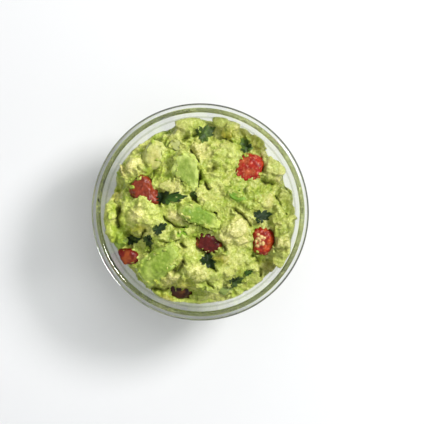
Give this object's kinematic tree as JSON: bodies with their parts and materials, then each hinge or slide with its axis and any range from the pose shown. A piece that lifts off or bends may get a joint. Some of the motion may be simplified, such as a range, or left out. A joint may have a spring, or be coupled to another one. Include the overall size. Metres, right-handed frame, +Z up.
{
  "type": "guacamole in a glass bowl",
  "caption": "Chunky guacamole with tomato dice, cilantro leaves and onion, heaped in a small round clear glass bowl with a rounded lip and a flat foot.",
  "frame": {"origin": "centre of the flat foot of the bowl, on the surface it stands on", "axes": "+Z up through the middle of the bowl; +X to the right and +Y away from the person looking down on it"},
  "size_m": [0.11, 0.11, 0.0563],
  "materials": {
    "clear_glass": "clear, polished",
    "mash": "moist, lumpy mashed avocado",
    "avocado": "smooth moist avocado flesh",
    "tomato": "wet cut tomato",
    "onion": "translucent moist onion",
    "cilantro": "dark green leaf"
  },
  "bodies": {
    "root": {"bowl": "clear_glass", "mash": "mash", "avocado_chunk_1": "avocado", "avocado_chunk_2": "avocado", "avocado_chunk_3": "avocado", "avocado_chunk_4": "avocado", "avocado_chunk_5": "avocado", "avocado_chunk_6": "avocado", "avocado_chunk_7": "avocado", "tomato_1": "tomato", "tomato_2": "tomato", "tomato_3": "tomato", "tomato_4": "tomato", "tomato_5": "tomato", "tomato_6": "tomato", "tomato_7": "tomato", "onion_1": "onion", "onion_2": "onion", "onion_3": "onion", "cilantro_1": "cilantro", "cilantro_2": "cilantro", "cilantro_3": "cilantro", "cilantro_4": "cilantro", "cilantro_5": "cilantro", "cilantro_6": "cilantro", "cilantro_7": "cilantro", "cilantro_8": "cilantro", "cilantro_9": "cilantro", "cilantro_10": "cilantro", "cilantro_11": "cilantro"}
  },
  "joints": []
}
